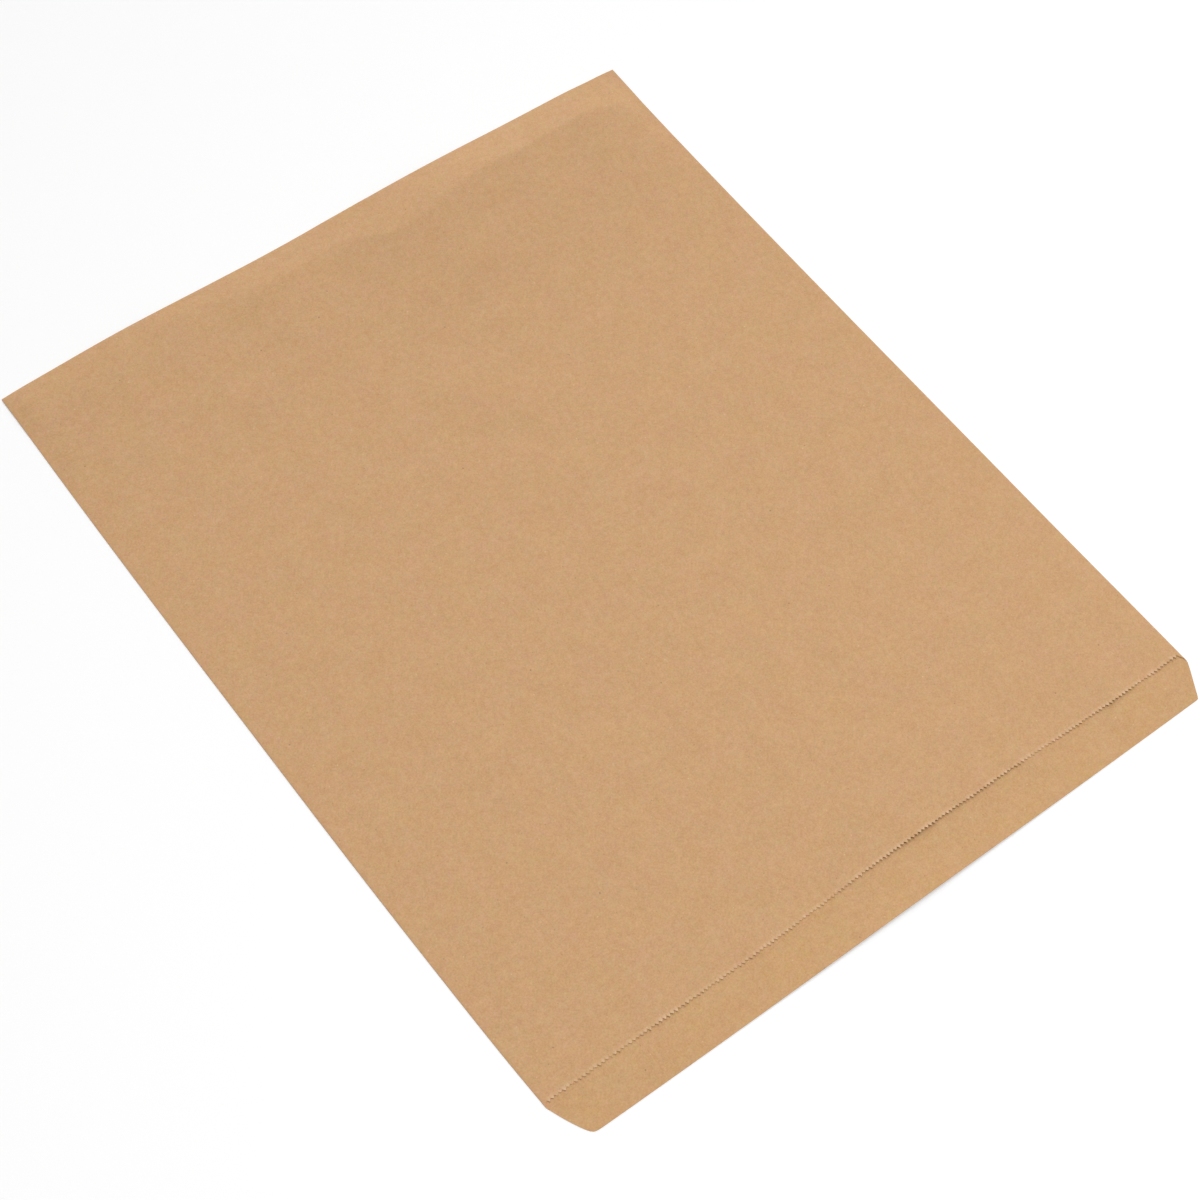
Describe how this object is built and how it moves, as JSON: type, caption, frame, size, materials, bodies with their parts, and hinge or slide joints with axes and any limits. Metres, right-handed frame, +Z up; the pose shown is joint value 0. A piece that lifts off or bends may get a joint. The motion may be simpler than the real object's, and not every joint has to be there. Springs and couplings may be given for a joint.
{
  "type": "flat paper bag",
  "caption": "Flat kraft paper merchandise bag with a toothed mouth, a back lip and a glued bottom flap, lying empty on its back.",
  "frame": {"origin": "on the surface the bag lies on, under the middle of its rectangle", "axes": "+X across the bag, +Y from the mouth to the bottom fold, +Z up through the plies, front ply uppermost"},
  "size_m": [0.3048, 0.381, 0.0021],
  "materials": {
    "kraft_paper": "uncoated matte natural kraft"
  },
  "bodies": {
    "root": {"paper_bag": "kraft_paper"}
  },
  "joints": []
}
